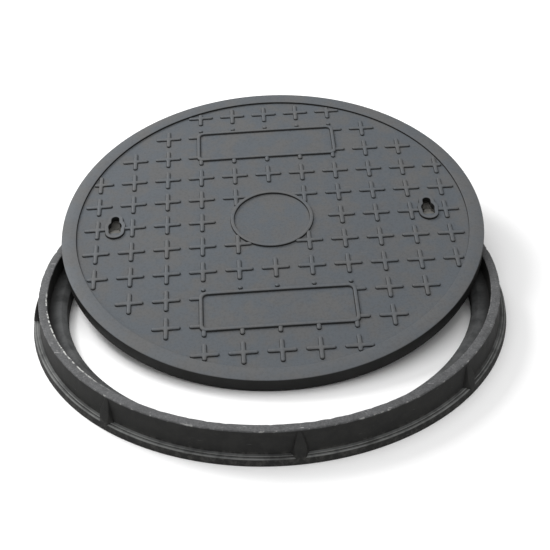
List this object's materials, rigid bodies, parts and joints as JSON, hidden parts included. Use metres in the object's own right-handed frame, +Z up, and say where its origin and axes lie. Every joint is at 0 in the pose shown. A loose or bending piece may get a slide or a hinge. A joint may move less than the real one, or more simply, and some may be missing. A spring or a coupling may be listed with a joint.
{
  "type": "manhole cover",
  "caption": "Round composite manhole cover with cross tread and keyhole lifting points, lying tilted and pushed back on its flanged frame.",
  "frame": {"origin": "centre of the frame's base, on the ground", "axes": "+Z up, +Y towards the back, which is the way the cover is pushed off its seat, +X to the right"},
  "size_m": [0.7039, 0.7848, 0.1369],
  "materials": {
    "moulded_cover": "moulded glass-filled resin, matt",
    "moulded_frame": "moulded glass-filled resin, matt, scuffed on the rim",
    "seal_rubber": "matt",
    "bar_steel": "plain drawn bar"
  },
  "bodies": {
    "frame": {"frame_ring": "moulded_frame", "frame_rim_hoop": "bar_steel", "frame_base_hoop": "bar_steel"},
    "cover": {"cover_plate": "moulded_cover", "cover_seal": "seal_rubber", "left_key_pocket": "moulded_cover", "right_key_pocket": "moulded_cover", "cover_hoop": "bar_steel", "cross_bar_1": "bar_steel", "cross_bar_2": "bar_steel", "cross_bar_3": "bar_steel", "cross_bar_4": "bar_steel", "cross_bar_5": "bar_steel", "cross_bar_6": "bar_steel", "long_bar_1": "bar_steel", "long_bar_2": "bar_steel", "long_bar_3": "bar_steel", "long_bar_4": "bar_steel", "long_bar_5": "bar_steel", "long_bar_6": "bar_steel"}
  },
  "joints": [
    {"name": "cover_lift", "type": "slide", "parent": "frame", "child": "cover", "axis": [0, 0, 1], "range_m": [0, 0.3]}
  ]
}
